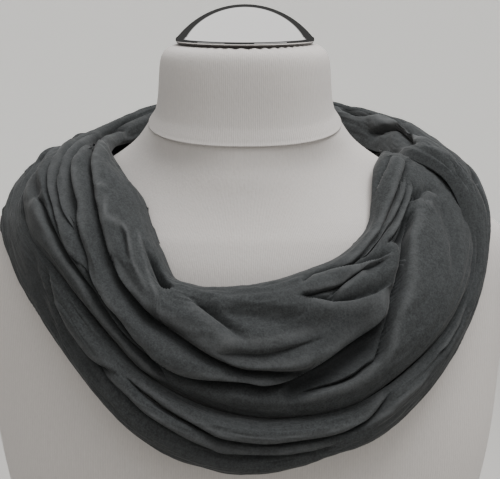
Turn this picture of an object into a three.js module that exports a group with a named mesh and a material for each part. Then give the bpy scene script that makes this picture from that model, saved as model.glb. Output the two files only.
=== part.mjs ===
// An infinity scarf, one closed loop of soft cloth, wound twice round a limbless display bust.
// Millimetres, +Z up, the front of the bust faces -Y. The base rests at z = 0 and is centred on x = y = 0.
// The cloth is a thin wall all the way: each turn round the neck is an open roll, arched over the
// body between two edges that rest on it, with creases sunk along the roll.
import * as THREE from "three";

// Driving dimensions
const shoulderHeight = 320; // shoulder line above the base; section heights below are measured from it
const clothWall = 2; // the cloth with its nap
const rollSquareness = 2.6; // 2 is an elliptical arch, more is squarer
const ringCentreY = -20; // centre of the two turns, forward of the neck's axis
const joinHalfTurn = 0.1; // degrees left free at each end of a stretch, for a join 0.3 mm wide
const ringStep = 8; // degrees between sections
const acrossPoints = 32; // points across the cloth in one section
const tuckPoints = 4; // more points for the edge that is tucked behind the lower turn
const restingGap = 1.8; // between the cloth and the bust
const creaseFade = 9; // degrees over which a crease runs out at its ends
const creaseBlend = 3; // how crisply two creases meet
const edgeGuard = 0.1; // the share of the cloth's width, at either edge, where creases run out
const bodySquareness = 2.3; // of the bust's level sections
const shoulderSetBack = 16; // how far behind the neck's axis the tips of the shoulders lie
const bodySides = 44;
const neckSides = 40;
const partGap = 0.3; // between the bust's own pieces
const seamTilt = 0.209; // the neck seam dips towards the front
const capTilt = 0.087; // so does the top of the neck, less
const capRadius = 46.6;
const capRise = 24;
const capLip = 2.4;

const readTable = (columns, rows) =>
  rows.map((row) => Object.fromEntries(columns.map((name, i) => [name, row[i]])));

// The winding: turn 0 is over the left shoulder, 90 the front, 180 the other shoulder, 270 the nape.
// 0 to 360 is the upper turn. From 330 it climbs over its own start and becomes the lower turn.
const winding = readTable(
  ["turn", "innerReach", "innerHeight", "outerReach", "outerHeight", "loft"],
  [
    [0, 86, 36, 140, 6, 16],
    [15, 85, 18, 136, -28, 20],
    [30, 90, -3, 128, -66, 24],
    [60, 81, -26, 110, -106, 27],
    [90, 79, -36, 100, -106, 27],
    [120, 79, -35, 106, -86, 29],
    [150, 80, 6, 127, -35, 28],
    [180, 85, 36, 142, 5, 27],
    [210, 86, 58, 126, 30, 19],
    [240, 88, 65, 116, 46, 17],
    [270, 86, 68, 110, 50, 19],
    [300, 88, 66, 116, 47, 22],
    [330, 90, 56, 136, 33, 25],
    [345, 98, 49, 152, 16, 25],
    [360, 112, 43, 155, -2, 22],
    [375, 139, 4, 148, -50, 13],
    [382, 143, -28, 142, -74, 11],
    [390, 140, -61, 132, -96, 12],
    [420, 122, -103, 111, -133, 16],
    [450, 113, -104, 104, -149, 18],
    [480, 118, -82, 114, -131, 18],
    [510, 139, -25, 133, -73, 8],
    [525, 143.8, -1, 143.5, -43, 8.5],
    [540, 148, 20, 150, -13, 9],
    [555, 142, 30, 153, 8, 22],
    [570, 133, 36, 152, 12, 28],
    [600, 125, 50, 136, -8, 24],
    [630, 119, 53, 114, -22, 24],
    [660, 125, 44, 128, -14, 18],
    [675, 112, 28, 138, -5, 11],
    [690, 98, 36, 144, 5, 8],
    [705, 93, 42, 136, 19, 7],
  ],
);

// The largest creases. across holds evenly spaced places from the first turn to the last,
// 0 at the cloth's inner edge and 1 at its outer edge. Sides are the widths of the two slopes.
const creases = readTable(
  ["name", "from", "to", "across", "depth", "innerSide", "outerSide"],
  [
    ["strandNear", 0, 50, [0.45, 0.37, 0.28, 0.24, 0.24], 8, 12, 9],
    ["strandFar", 2, 45, [0.5, 0.44, 0.4, 0.35, 0.33], 6, 8, 7],
    ["crossedEdge", 28, 80, [0.48, 0.36, 0.2, 0.12, 0.15], 7, 8, 10],
    ["crossedPleat", 30, 63, [0.5, 0.43, 0.37, 0.35], 5, 8, 8],
    ["panelStep", 10, 54, [0.44, 0.48, 0.5, 0.58, 0.86], 14, 26, 5],
    ["panelBack", 4, 46, [0.7, 0.82, 0.86, 0.87, 0.88], 7, 10, 8],
    ["pocketEdge", 46, 106, [0.8, 0.77, 0.79, 0.85, 0.9], 12, 18, 6],
    ["frontTop", 36, 114, [0.55, 0.51, 0.46, 0.42, 0.33], 8, 12, 8],
    ["innerPleat", 103, 162, [0.58, 0.44, 0.31, 0.3, 0.24], 6, 10, 9],
    ["mainFold", 40, 205, [0.56, 0.59, 0.61, 0.52, 0.41, 0.33, 0.34], 11, 11, 8],
    ["nextFold", 66, 210, [0.58, 0.7, 0.69, 0.6, 0.47, 0.47, 0.5], 8, 9, 7],
    ["deepGap", 122, 215, [0.84, 0.76, 0.7, 0.66, 0.7], 7, 9, 7],
    ["napeInner", 196, 352, [0.2, 0.26, 0.24, 0.3, 0.36], 8, 9, 9],
    ["napeMiddle", 196, 340, [0.5, 0.54, 0.5, 0.56, 0.6], 6, 9, 9],
    ["napeOuter", 200, 372, [0.76, 0.74, 0.78, 0.72, 0.66], 7, 9, 8],
    ["crossingEdge", 362, 425, [0.44, 0.56, 0.6, 0.7], 6, 9, 7],
    ["lowerUpper", 392, 518, [0.25, 0.4, 0.46, 0.42, 0.44, 0.25], 8, 12, 7],
    ["lowerLower", 416, 504, [0.78, 0.6, 0.57, 0.5, 0.88], 8, 12, 6],
    ["shoulderDip", 524, 622, [0.4, 0.5, 0.46, 0.42], 8, 14, 12],
    ["backUpper", 596, 706, [0.26, 0.3, 0.34, 0.4], 6, 10, 9],
    ["backLower", 586, 700, [0.66, 0.68, 0.7, 0.66], 8, 12, 8],
  ],
);

// How much of the upper turn's outer edge hangs on behind the lower turn, straight down
const tucks = readTable(
  ["turn", "length"],
  [
    [0, 1.5],
    [10, 4],
    [24, 20],
    [150, 20],
    [165, 10],
    [180, 3],
    [195, 2],
  ],
);

// One node for each stretch of the loop that shows
const stretches = readTable(
  ["name", "from", "to", "tucked"],
  [
    ["scarf_upper_front", 0, 195, true],
    ["scarf_upper_nape", 195, 345, false],
    ["scarf_lower_front", 345, 560, false],
    ["scarf_lower_back", 560, 720, false],
  ],
);

// Level sections of the bust, up from the base: half width, how far it reaches forward and back,
// how much it thins towards the shoulders, and its dip towards the front
const torsoSections = readTable(
  ["height", "halfWidth", "front", "back", "thinning", "tilt"],
  [
    [-320, 125, 80, 75, 0.04, 0],
    [-316, 129, 84, 79, 0.04, 0],
    [-295, 131, 87, 81, 0.05, 0],
    [-250, 138, 95, 84, 0.07, 0],
    [-200, 149, 105, 88, 0.1, 0],
    [-150, 161, 110, 92, 0.16, 0],
    [-100, 169, 106, 94, 0.24, 0],
    [-60, 177, 98, 93, 0.32, 0],
    [-30, 182, 90, 90, 0.4, 0],
    [-10, 178, 82, 86, 0.46, 0.02],
    [2, 164, 76, 81, 0.5, 0.05],
    [14, 138, 71, 75, 0.5, 0.09],
    [26, 113, 67, 70, 0.46, 0.13],
    [38, 91, 64, 66, 0.36, 0.17],
    [50, 75, 61, 63, 0.2, 0.2],
    [64, 65, 59, 60, 0, seamTilt],
  ],
);

const neckSections = readTable(
  ["height", "halfWidth", "front", "back", "thinning", "tilt"],
  [
    [64 + partGap, 65, 59, 60, 0, seamTilt],
    [71, 61.5, 57.5, 58, 0, 0.18],
    [82, 59, 56.5, 56.5, 0, 0.14],
    [97, 57.8, 56, 56, 0, 0.11],
    [108, 56.6, 55, 55, 0, 0.095],
    [113.5, 53.5, 52.5, 52.5, 0, capTilt],
    [116.4, 48, 47.5, 47.5, 0, capTilt],
    [117, 42, 42, 42, 0, capTilt],
  ],
);
const capBase = 117 + partGap;

// Smooth value at t along rows, by cubic Hermite with slopes from the neighbouring rows
function hermite(t, at, value, previous, next) {
  const span = at[2] - at[1];
  const f = (t - at[1]) / span;
  const slopeIn = ((next[0] - previous[0]) / (at[2] - at[0])) * span;
  const slopeOut = ((next[1] - previous[1]) / (at[3] - at[1])) * span;
  const f2 = f * f;
  const f3 = f2 * f;
  return (
    (2 * f3 - 3 * f2 + 1) * value[0] + (f3 - 2 * f2 + f) * slopeIn +
    (3 * f2 - 2 * f3) * value[1] + (f3 - f2) * slopeOut
  );
}

// The winding's row at any turn; the loop closes on itself after two turns
function windingAt(turn) {
  const whole = 720;
  const t = ((turn % whole) + whole) % whole;
  const count = winding.length;
  let i = winding.findLastIndex((row) => row.turn <= t);
  const row = (k) => winding[(k + count) % count];
  const place = (k) => row(k).turn + (k < 0 ? -whole : k >= count ? whole : 0);
  const at = [i - 1, i, i + 1, i + 2].map(place);
  const read = (key) =>
    hermite(t, at, [row(i)[key], row(i + 1)[key]],
      [row(i - 1)[key], row(i)[key]], [row(i + 1)[key], row(i + 2)[key]]);
  return {
    innerReach: read("innerReach"), innerHeight: read("innerHeight"),
    outerReach: read("outerReach"), outerHeight: read("outerHeight"), loft: read("loft"),
  };
}

// A point of the smooth roll, as reach from the ring's centre and height
function rollPoint(row, across) {
  const inner = new THREE.Vector2(row.innerReach, row.innerHeight);
  const outer = new THREE.Vector2(row.outerReach, row.outerHeight);
  const along = outer.clone().sub(inner).multiplyScalar(0.5);
  const rise = new THREE.Vector2(-along.y, along.x).normalize().multiplyScalar(row.loft);
  const angle = Math.PI * across;
  const bulge = (v) => Math.sign(v) * Math.abs(v) ** (2 / rollSquareness);
  return inner.add(outer).multiplyScalar(0.5)
    .addScaledVector(along, -bulge(Math.cos(angle)))
    .addScaledVector(rise, bulge(Math.sin(angle)));
}

const smoothStep = (low, high, v) => THREE.MathUtils.smoothstep(v, low, high);

// Where a crease lies across the cloth at a turn
function creaseAcross(crease, turn) {
  const places = crease.across;
  const last = places.length - 1;
  const t = THREE.MathUtils.clamp((turn - crease.from) / (crease.to - crease.from), 0, 1) * last;
  const i = Math.min(Math.floor(t), last - 1);
  const place = (k) => places[THREE.MathUtils.clamp(k, 0, last)];
  return hermite(t, [i - 1, i, i + 1, i + 2], [place(i), place(i + 1)],
    [place(i - 1), place(i)], [place(i + 1), place(i + 2)]);
}

// How deep the cloth is sunk by the creases at a place, in a section arcLength wide
function creaseDepth(turn, across, arcLength) {
  let sum = 0;
  for (const crease of creases) {
    if (turn <= crease.from || turn >= crease.to) continue;
    const fade = smoothStep(crease.from, crease.from + creaseFade, turn) *
      (1 - smoothStep(crease.to - creaseFade, crease.to, turn));
    const away = (across - creaseAcross(crease, turn)) * arcLength;
    const side = away < 0 ? crease.innerSide : crease.outerSide;
    const share = Math.max(0, 1 - Math.abs(away) / side);
    sum += (crease.depth * fade * share * share) ** creaseBlend;
  }
  const guard = smoothStep(0, edgeGuard, across) * smoothStep(0, edgeGuard, 1 - across);
  return guard * sum ** (1 / creaseBlend);
}

// Unit normals of an open line in the section's plane, pointing out of the roll
function lineNormals(line) {
  return line.map((_, i) => {
    const before = line[Math.max(i - 1, 0)];
    const after = line[Math.min(i + 1, line.length - 1)];
    return new THREE.Vector2(before.y - after.y, after.x - before.x).normalize();
  });
}

// The bust's section at a level, between the table's rows
function bodyAt(height) {
  const rows = [...torsoSections, ...neckSections];
  const last = rows.length - 2;
  const i = THREE.MathUtils.clamp(rows.findLastIndex((row) => row.height <= height), 0, last);
  const f = THREE.MathUtils.clamp((height - rows[i].height) / (rows[i + 1].height - rows[i].height), 0, 1);
  const between = (key) => THREE.MathUtils.lerp(rows[i][key], rows[i + 1][key], f);
  return Object.fromEntries(["halfWidth", "front", "back", "thinning", "tilt"].map((key) => [key, between(key)]));
}

// 1 on the bust's surface, less inside it, more outside, for a point of the ring's section plane
function bodyLevel(reach, height, angle) {
  const x = reach * Math.cos(angle);
  const y = ringCentreY - reach * Math.sin(angle);
  const row = bodyAt(height - bodyAt(height).tilt * y);
  const sideways = Math.abs(x) / row.halfWidth;
  const thin = row.thinning * Math.min(sideways, 1.2) ** 2;
  const away = y - 2 * shoulderSetBack * thin;
  const depth = (away < 0 ? row.front : row.back) * (1 - thin);
  return (sideways ** bodySquareness + (Math.abs(away) / depth) ** bodySquareness) ** (1 / bodySquareness);
}

// Moves a point of the roll out until the cloth's whole thickness is clear of the bust
function clearOfBody(point, angle) {
  const clearance = clothWall + restingGap;
  const probe = 1;
  const moved = point.clone();
  for (let round = 0; round < 6; round++) {
    const level = bodyLevel(moved.x, moved.y, angle);
    const slope = new THREE.Vector2(
      bodyLevel(moved.x + probe, moved.y, angle) - level,
      bodyLevel(moved.x, moved.y + probe, angle) - level,
    ).divideScalar(probe);
    const distance = (level - 1) / slope.length();
    if (distance > clearance) break;
    moved.addScaledVector(slope.normalize(), clearance - distance);
  }
  return moved;
}

// The points of the tucked edge, down from the foot of the roll
function tuckedEdge(foot, turn, angle) {
  const i = Math.min(tucks.findLastIndex((row) => row.turn <= turn), tucks.length - 2);
  const share = (turn - tucks[i].turn) / (tucks[i + 1].turn - tucks[i].turn);
  const length = THREE.MathUtils.lerp(tucks[i].length, tucks[i + 1].length, share);
  return Array.from({ length: tuckPoints }, (_, k) =>
    clearOfBody(new THREE.Vector2(foot.x, foot.y - (length * (k + 1)) / tuckPoints), angle));
}

// One section of the cloth: its outer line, then back along its inner line, as 3-D points
function clothSection(turn, tucked) {
  const row = windingAt(turn);
  const angle = THREE.MathUtils.degToRad(turn);
  const places = Array.from({ length: acrossPoints }, (_, i) => i / (acrossPoints - 1));
  const smooth = places.map((across) => rollPoint(row, across));
  const arcLength = smooth.slice(1).reduce((sum, p, i) => sum + p.distanceTo(smooth[i]), 0);
  const outward = lineNormals(smooth);
  const outer = smooth.map((p, i) => clearOfBody(
    p.clone().addScaledVector(outward[i], -creaseDepth(turn, places[i], arcLength)), angle));
  if (tucked) outer.push(...tuckedEdge(outer[outer.length - 1], turn, angle));
  const normals = lineNormals(outer);
  const inner = outer.map((p, i) => p.clone().addScaledVector(normals[i], -clothWall));
  return [...outer, ...inner.reverse()].map((p) =>
    new THREE.Vector3(p.x * Math.cos(angle), ringCentreY - p.x * Math.sin(angle), shoulderHeight + p.y));
}

// A closed mesh through closed rings of points, turned to face out
function sweep(rings) {
  const count = rings[0].length;
  const positions = rings.flat().flatMap((p) => [p.x, p.y, p.z]);
  const faces = [];
  for (let r = 0; r < rings.length - 1; r++) {
    for (let i = 0; i < count; i++) {
      const j = (i + 1) % count;
      const [a, b, c, d] = [r * count + i, r * count + j, (r + 1) * count + j, (r + 1) * count + i];
      faces.push([a, b, c], [a, c, d]);
    }
  }
  const lastRing = (rings.length - 1) * count;
  for (const [a, b, c] of endFaces(count)) {
    faces.push([c, b, a], [lastRing + a, lastRing + b, lastRing + c]);
  }
  const corner = (k) => new THREE.Vector3().fromArray(positions, 3 * k);
  const volume = faces.reduce((sum, [a, b, c]) => sum + corner(a).dot(corner(b).cross(corner(c))), 0);
  const geometry = new THREE.BufferGeometry();
  geometry.setAttribute("position", new THREE.Float32BufferAttribute(positions, 3));
  geometry.setIndex((volume > 0 ? faces : faces.map(([a, b, c]) => [a, c, b])).flat());
  geometry.computeVertexNormals();
  return geometry;
}

// End faces in strips between the two halves of a ring: a wall's, which runs out along one side
// and back along the other, and a convex ring's
function endFaces(count) {
  const faces = [];
  for (let i = 0; i < count / 2 - 1; i++) {
    const [a, b, c, d] = [i, i + 1, count - 2 - i, count - 1 - i];
    faces.push([a, b, c], [a, c, d]);
  }
  return faces;
}

// A level section of the bust at one table row, dipped towards the front by its tilt
function bodyRing(row, sides) {
  const soften = (v) => Math.sign(v) * Math.abs(v) ** (2 / bodySquareness);
  return Array.from({ length: sides }, (_, i) => {
    const angle = (2 * Math.PI * (i + 0.5)) / sides;
    const sideways = soften(Math.cos(angle));
    const depth = (Math.sin(angle) < 0 ? row.front : row.back) * (1 - row.thinning * sideways ** 2);
    const y = depth * soften(Math.sin(angle)) + shoulderSetBack * 2 * row.thinning * sideways ** 2;
    return new THREE.Vector3(row.halfWidth * sideways, y, shoulderHeight + row.height + row.tilt * y);
  });
}

// Rows between the table's own, so that the bust curves smoothly
function filledIn(rows, between) {
  const made = [];
  const at = (k) => rows[THREE.MathUtils.clamp(k, 0, rows.length - 1)];
  const place = (k) => at(k).height + (k < 0 ? -1 : k >= rows.length ? 1 : 0);
  for (let i = 0; i < rows.length - 1; i++) {
    const steps = rows[i + 1].height - rows[i].height > 11 ? between : 1;
    for (let s = 0; s < steps; s++) {
      const height = THREE.MathUtils.lerp(rows[i].height, rows[i + 1].height, s / steps);
      const row = { height };
      for (const key of ["halfWidth", "front", "back", "thinning", "tilt"]) {
        row[key] = hermite(height, [i - 1, i, i + 1, i + 2].map(place), [at(i)[key], at(i + 1)[key]],
          [at(i - 1)[key], at(i)[key]], [at(i + 1)[key], at(i + 2)[key]]);
      }
      made.push(row);
    }
  }
  return [...made, rows[rows.length - 1]];
}

function clothStretch({ from, to, tucked }) {
  const start = from + joinHalfTurn;
  const end = to - joinHalfTurn;
  const steps = Math.round((end - start) / ringStep);
  const rings = Array.from({ length: steps + 1 }, (_, i) =>
    clothSection(THREE.MathUtils.lerp(start, end, i / steps), tucked));
  return sweep(rings);
}

function bodyPiece(rows, sides, between) {
  return sweep(filledIn(rows, between).map((row) => bodyRing(row, sides)));
}

// The cap: a low dome on a short upright lip, turned about its axis and tipped with the neck
function capPiece() {
  const domeSteps = 9;
  const sphere = (capRadius ** 2 + capRise ** 2) / (2 * capRise);
  const widest = Math.asin(capRadius / sphere);
  const profile = [new THREE.Vector2(0, 0), new THREE.Vector2(capRadius - 1.2, 0)];
  for (let i = 0; i < domeSteps; i++) {
    const angle = widest * (1 - i / domeSteps);
    const height = sphere * Math.cos(angle) - (sphere - capRise);
    profile.push(new THREE.Vector2(sphere * Math.sin(angle), capLip + height));
  }
  profile.push(new THREE.Vector2(0, capLip + capRise));
  const geometry = new THREE.LatheGeometry(profile, neckSides);
  geometry.rotateX(Math.PI / 2);
  geometry.rotateX(Math.atan(capTilt));
  geometry.translate(0, 0, shoulderHeight + capBase);
  return geometry;
}

const cloth = new THREE.MeshStandardMaterial({ color: 0x4b4f51, roughness: 0.85, metalness: 0 });
const jersey = new THREE.MeshStandardMaterial({ color: 0xc9c3bf, roughness: 0.9, metalness: 0 });
const chrome = new THREE.MeshStandardMaterial({ color: 0xd8d8da, roughness: 0.08, metalness: 1 });

const scarfOnBust = new THREE.Group();
function add(name, geometry, material) {
  const mesh = new THREE.Mesh(geometry, material);
  mesh.name = name;
  scarfOnBust.add(mesh);
}

add("bust_torso", bodyPiece(torsoSections, bodySides, 2), jersey);
add("bust_neck", bodyPiece(neckSections, neckSides, 1), jersey);
add("neck_cap", capPiece(), chrome);
for (const stretch of stretches) add(stretch.name, clothStretch(stretch), cloth);

// The scarf reaches further forward than back, so the whole is moved to stand about the origin
const reach = new THREE.Box3().setFromObject(scarfOnBust, true);
scarfOnBust.position.y = -(reach.min.y + reach.max.y) / 2;

export default scarfOnBust;
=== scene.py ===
import math

import bmesh
import bpy
import numpy as np
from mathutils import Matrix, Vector


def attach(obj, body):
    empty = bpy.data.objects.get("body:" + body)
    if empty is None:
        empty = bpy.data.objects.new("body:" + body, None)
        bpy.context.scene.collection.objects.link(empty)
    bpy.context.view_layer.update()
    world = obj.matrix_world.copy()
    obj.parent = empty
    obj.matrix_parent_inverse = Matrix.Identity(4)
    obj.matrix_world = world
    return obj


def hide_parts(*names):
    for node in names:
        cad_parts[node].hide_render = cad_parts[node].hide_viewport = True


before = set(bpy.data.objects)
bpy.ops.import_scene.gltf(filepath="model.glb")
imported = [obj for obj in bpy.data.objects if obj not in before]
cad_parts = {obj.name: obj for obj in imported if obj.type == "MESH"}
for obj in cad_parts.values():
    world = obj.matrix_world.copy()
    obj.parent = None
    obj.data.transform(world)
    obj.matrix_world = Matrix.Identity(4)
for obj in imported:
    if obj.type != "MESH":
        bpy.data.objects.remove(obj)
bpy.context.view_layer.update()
print("frame loaded:", sorted(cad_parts))

# The winding and the bust are laid out in millimetres from the shoulder line and the neck's axis.
# forward is where the neck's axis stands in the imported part.
place = {"shoulderHeight": 320.0, "forward": 12.41, "ringCentre": -20.0}
metres = 0.001

view = {
    "distance": 1150.0,
    "target": (3.4, 0.0, 305.0),
    "elevation": 5.0,
    "focalPixels": 1691.2,
    "width": 500,
    "height": 479,
}


def placeCamera():
    tilt = math.radians(view["elevation"])
    tx, ty, tz = view["target"]
    data = bpy.data.cameras.new("photoCamera")
    data.sensor_width = 36
    data.lens = view["focalPixels"] / view["width"] * data.sensor_width
    data.clip_start = 0.05
    data.clip_end = 30
    camera = bpy.data.objects.new("photoCamera", data)
    bpy.context.scene.collection.objects.link(camera)
    y = ty + place["forward"] - view["distance"] * math.cos(tilt)
    z = tz + view["distance"] * math.sin(tilt)
    camera.location = (tx * metres, y * metres, z * metres)
    camera.rotation_euler = (math.radians(90) - tilt, 0, 0)
    bpy.context.scene.camera = camera


placeCamera()


class Socket:
    # a shader socket that takes part in arithmetic
    def __init__(self, maker, link):
        self.maker = maker
        self.link = link

    def math(self, operation, *others):
        return self.maker.node("ShaderNodeMath", {"operation": operation}, dict(enumerate((self, *others))))

    def __add__(self, other):
        return self.math("ADD", other)

    def __sub__(self, other):
        return self.math("SUBTRACT", other)

    def __mul__(self, other):
        return self.math("MULTIPLY", other)

    def limited(self):
        return self.maker.node("ShaderNodeClamp", {}, {0: self})


class Finish:
    # a material under construction
    def __init__(self, name):
        self.material = bpy.data.materials.new(name)
        self.material.use_nodes = True
        self.nodes = self.material.node_tree.nodes
        self.links = self.material.node_tree.links
        self.nodes.clear()

    def node(self, kind, settings, inputs, output=0):
        made = self.nodes.new(kind)
        for key, value in settings.items():
            setattr(made, key, value)
        for key, value in inputs.items():
            if isinstance(value, Socket):
                self.links.new(value.link, made.inputs[key])
            elif made.inputs[key].type == "RGBA":
                made.inputs[key].default_value = (*value, 1)
            else:
                made.inputs[key].default_value = value
        return Socket(self, made.outputs[output])

    def mix(self, factor, first, second):
        # inputs 6 and 7 are the colours of the colour mix
        return self.node("ShaderNodeMix", {"data_type": "RGBA"}, {0: factor, 6: first, 7: second}, 2)

    def noise(self, where, scale, detail=2.0, roughness=0.5):
        return self.node("ShaderNodeTexNoise", {}, {
            "Vector": where, "Scale": scale, "Detail": detail, "Roughness": roughness})

    def surface(self, shader):
        out = self.nodes.new("ShaderNodeOutputMaterial")
        self.links.new(shader.link, out.inputs["Surface"])
        return self.material


def smoothRows(at, rows, period=None):
    # a cubic through the rows of a table, with slopes from the neighbouring rows
    rows = np.array(rows, float)
    places, values = rows[:, 0], rows[:, 1:]
    if period:
        places = np.concatenate([[places[-1] - period], places, [places[0] + period, places[1] + period]])
        values = np.concatenate([values[-1:], values, values[:2]])
        at = np.mod(at, period)
    else:
        places = np.concatenate([[2 * places[0] - places[1]], places, [2 * places[-1] - places[-2]]])
        values = np.concatenate([2 * values[:1] - values[1:2], values, 2 * values[-1:] - values[-2:-1]])
        at = np.clip(at, places[1], places[-2])
    i = np.clip(np.searchsorted(places, at, side="right") - 1, 1, len(places) - 3)
    span = (places[i + 1] - places[i])[..., None]
    f = ((at - places[i]) / (places[i + 1] - places[i]))[..., None]
    slopeIn = (values[i + 1] - values[i - 1]) / (places[i + 1] - places[i - 1])[..., None] * span
    slopeOut = (values[i + 2] - values[i]) / (places[i + 2] - places[i])[..., None] * span
    f2, f3 = f * f, f * f * f
    return ((2 * f3 - 3 * f2 + 1) * values[i] + (f3 - 2 * f2 + f) * slopeIn
            + (3 * f2 - 2 * f3) * values[i + 1] + (f3 - f2) * slopeOut)


def smoothStep(low, high, value):
    f = np.clip((value - low) / (high - low), 0, 1)
    return f * f * (3 - 2 * f)


bust = {
    "squareness": 2.3,
    "setBack": 16.0,
    "sides": 176,
    "clearRounds": 5,
    # height, half width, front, back, thinning towards the shoulder tips, tilt
    "torso": [
        (-320, 125, 80, 75, 0.04, 0), (-316, 129, 84, 79, 0.04, 0), (-295, 131, 87, 81, 0.05, 0),
        (-250, 142, 95, 84, 0.07, 0), (-200, 155, 105, 88, 0.1, 0), (-150, 167, 110, 92, 0.16, 0),
        (-100, 174, 106, 94, 0.24, 0), (-60, 179, 98, 93, 0.32, 0), (-30, 182, 90, 90, 0.4, 0),
        (-10, 178, 82, 86, 0.46, 0.02), (2, 164, 76, 81, 0.5, 0.05), (14, 138, 71, 75, 0.5, 0.09),
        (26, 113, 67, 70, 0.46, 0.13), (38, 91, 64, 66, 0.36, 0.17), (50, 75, 61, 63, 0.2, 0.21),
        (66, 63.6, 59, 60, 0, 0.25)],
    "neck": [
        (66.3, 63.6, 59, 60, 0, 0.25), (73, 60.6, 57.5, 58, 0, 0.2), (82, 58.8, 56.5, 56.5, 0, 0.15),
        (97, 57.8, 56, 56, 0, 0.11), (108, 56.6, 55, 55, 0, 0.095), (113.5, 53.5, 52.5, 52.5, 0, 0.087),
        (116.4, 48, 47.5, 47.5, 0, 0.087), (117, 42, 42, 42, 0, 0.087)],
}


def bodyLevel(reach, height, angle):
    # 1 on the bust's surface, less inside it and more outside
    rows = np.array(bust["torso"] + bust["neck"], float)
    x = reach * np.cos(angle)
    y = place["ringCentre"] - reach * np.sin(angle)
    columns = [np.interp(height, rows[:, 0], rows[:, k]) for k in range(1, 6)]
    level = height - columns[4] * y
    halfWidth, front, back, thinning, _ = [np.interp(level, rows[:, 0], rows[:, k]) for k in range(1, 6)]
    sideways = np.abs(x) / halfWidth
    # beyond the shoulder tips the thinning soon stops growing
    thin = thinning * np.minimum(sideways, 1.2) ** 2
    away = y - 2 * bust["setBack"] * thin
    depth = np.where(away < 0, front, back) * (1 - thin)
    n = bust["squareness"]
    return (sideways ** n + (np.abs(away) / depth) ** n) ** (1 / n)


def clearOfBody(reach, height, angle, clearance):
    # moves points out until they are clear of the bust, in a few rounds
    for _ in range(bust["clearRounds"]):
        level = bodyLevel(reach, height, angle)
        slopeReach = bodyLevel(reach + 1, height, angle) - level
        slopeHeight = bodyLevel(reach, height + 1, angle) - level
        steep = np.hypot(slopeReach, slopeHeight) + 1e-9
        move = np.maximum(0, clearance - (level - 1) / steep)
        reach = reach + move * slopeReach / steep
        height = height + move * slopeHeight / steep
    return reach, height


# Turns are degrees round the neck from the wearer's left shoulder by way of the front; the scarf has 720.
scarf = {
    "wall": 2.0,
    "gap": 1.8,
    "squareness": 2.6,
    "joinHalfTurn": 0.02,
    "rings": 216,
    "columns": 200,
    "widthSteps": 121,
    "meanReach": 125,
    # the share of the wear and of the painted hollow shade that the lining gets
    "liningWearAndShade": 0.3,
    # turn, inner reach, inner height, outer reach, outer height, loft
    "winding": [
        (0, 86, 36, 146, 0, 17), (10, 85, 27, 147, -24, 19), (20, 87, 12, 145, -48, 21),
        (30, 89, -3, 140, -68, 23), (45, 85, -18, 128, -93, 25), (60, 81, -26, 117, -110, 25),
        (90, 79, -36, 106, -113, 25), (120, 79, -35, 110, -92, 28), (130, 79, -16, 113, -75, 29),
        (150, 73, 13, 130, -35, 28), (165, 77, 25, 139, -15, 28), (180, 84, 36, 142, 5, 26),
        (195, 93, 41, 134, 18, 25), (210, 95, 44, 126, 30, 25), (225, 91, 50, 121, 39, 27),
        (240, 89, 56, 116, 46, 28), (270, 87, 64, 110, 50, 27), (300, 91, 57, 116, 47, 28),
        (330, 104, 44, 136, 33, 28),
        (345, 103, 37, 152, 16, 26), (358, 108, 41, 155, -2, 22),
        (364, 133, 27, 155, -15, 15), (370, 149, -9, 153, -37, 9), (375, 150, -30, 149, -53, 8),
        (382, 147, -49, 142, -76, 8), (390, 143, -66, 133, -97, 9), (400, 138, -82, 123, -115, 11),
        (410, 132, -96, 116, -126, 14), (420, 123, -107, 111, -131, 16), (450, 113, -111, 104, -146, 18),
        (480, 118, -87, 114, -128, 18), (510, 135, -27, 133, -73, 8), (525, 141.5, -4, 143.5, -43, 8.5),
        (540, 146.5, 11, 161, -12, 4), (548, 143, 17, 163, 1, 9), (555, 140, 24, 159, 10, 17),
        (570, 133, 36, 152, 12, 28),
        (600, 125, 50, 136, -8, 24), (630, 113, 53, 114, -22, 24), (660, 117, 44, 128, -14, 18),
        (675, 117, 39, 138, -5, 10), (690, 109, 42, 144, 5, 8), (705, 95, 42, 136, 19, 7)],
    "stretches": {
        "scarf_upper_front": (0, 195), "scarf_upper_nape": (195, 345),
        "scarf_lower_front": (345, 560), "scarf_lower_back": (560, 720)},
    # turn, and how far the upper turn's outer edge hangs on behind the lower turn
    "tuck": [(0, 2), (10, 4), (24, 16), (60, 22), (150, 26), (165, 24), (180, 20), (195, 8), (220, 16),
             (300, 20), (330, 14), (345, 3)],
    "tuckColumns": 12,
}


def rollLine(turn, across):
    # reach and height of the smooth roll
    v = smoothRows(turn, scarf["winding"], 720)
    innerReach, innerHeight, outerReach, outerHeight, loft = [v[..., k] for k in range(5)]
    alongReach, alongHeight = (outerReach - innerReach) / 2, (outerHeight - innerHeight) / 2
    length = np.hypot(alongReach, alongHeight)
    power = 2 / scarf["squareness"]
    bend = np.pi * across
    u = -np.sign(np.cos(bend)) * np.abs(np.cos(bend)) ** power
    w = np.abs(np.sin(bend)) ** power
    reach = (innerReach + outerReach) / 2 + alongReach * u - alongHeight / length * loft * w
    height = (innerHeight + outerHeight) / 2 + alongHeight * u + alongReach / length * loft * w
    return reach, height


def toSpace(angle, reach, height):
    x = reach * np.cos(angle)
    y = place["ringCentre"] - reach * np.sin(angle) + place["forward"]
    z = place["shoulderHeight"] + height
    return np.stack([x, y, z], axis=-1)


def cameraFrame():
    tilt = math.radians(view["elevation"])
    aim = np.array(view["target"]) + (0, place["forward"], 0)
    eye = aim + view["distance"] * np.array([0, -math.cos(tilt), math.sin(tilt)])
    return eye, np.array([0, math.cos(tilt), -math.sin(tilt)]), np.array([0, math.sin(tilt), math.cos(tilt)])


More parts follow.
